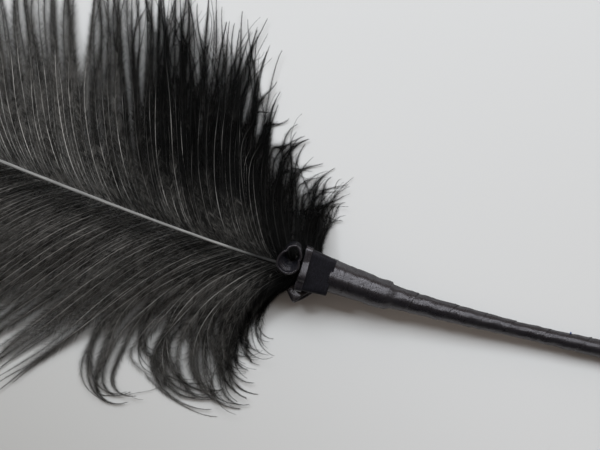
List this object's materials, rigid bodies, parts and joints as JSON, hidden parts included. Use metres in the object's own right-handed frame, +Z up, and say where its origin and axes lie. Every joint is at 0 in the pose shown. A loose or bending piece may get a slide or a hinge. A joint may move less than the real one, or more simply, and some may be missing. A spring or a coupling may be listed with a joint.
{
  "type": "ostrich feather",
  "caption": "Dyed black ostrich plume lying flat, with a pale central shaft, a satin-wrapped quill handle and a small folded ribbon bow.",
  "frame": {"origin": "centre of the bounding box at its base, on the surface that the plume lies on", "axes": "+X along the shaft towards the wrapped handle, -X towards the plume's tip, +Z up out of the surface"},
  "size_m": [0.6124, 0.2145, 0.0284],
  "materials": {
    "feather": "dyed black barbs, soft sheen",
    "rachis": "pale grey horn, satin",
    "ribbon": "black satin ribbon",
    "lint": "blue lint"
  },
  "bodies": {
    "root": {"feather": "feather", "ribbon_wrap": "ribbon", "bow_band": "ribbon", "bow_ribbon": "ribbon"}
  },
  "joints": []
}
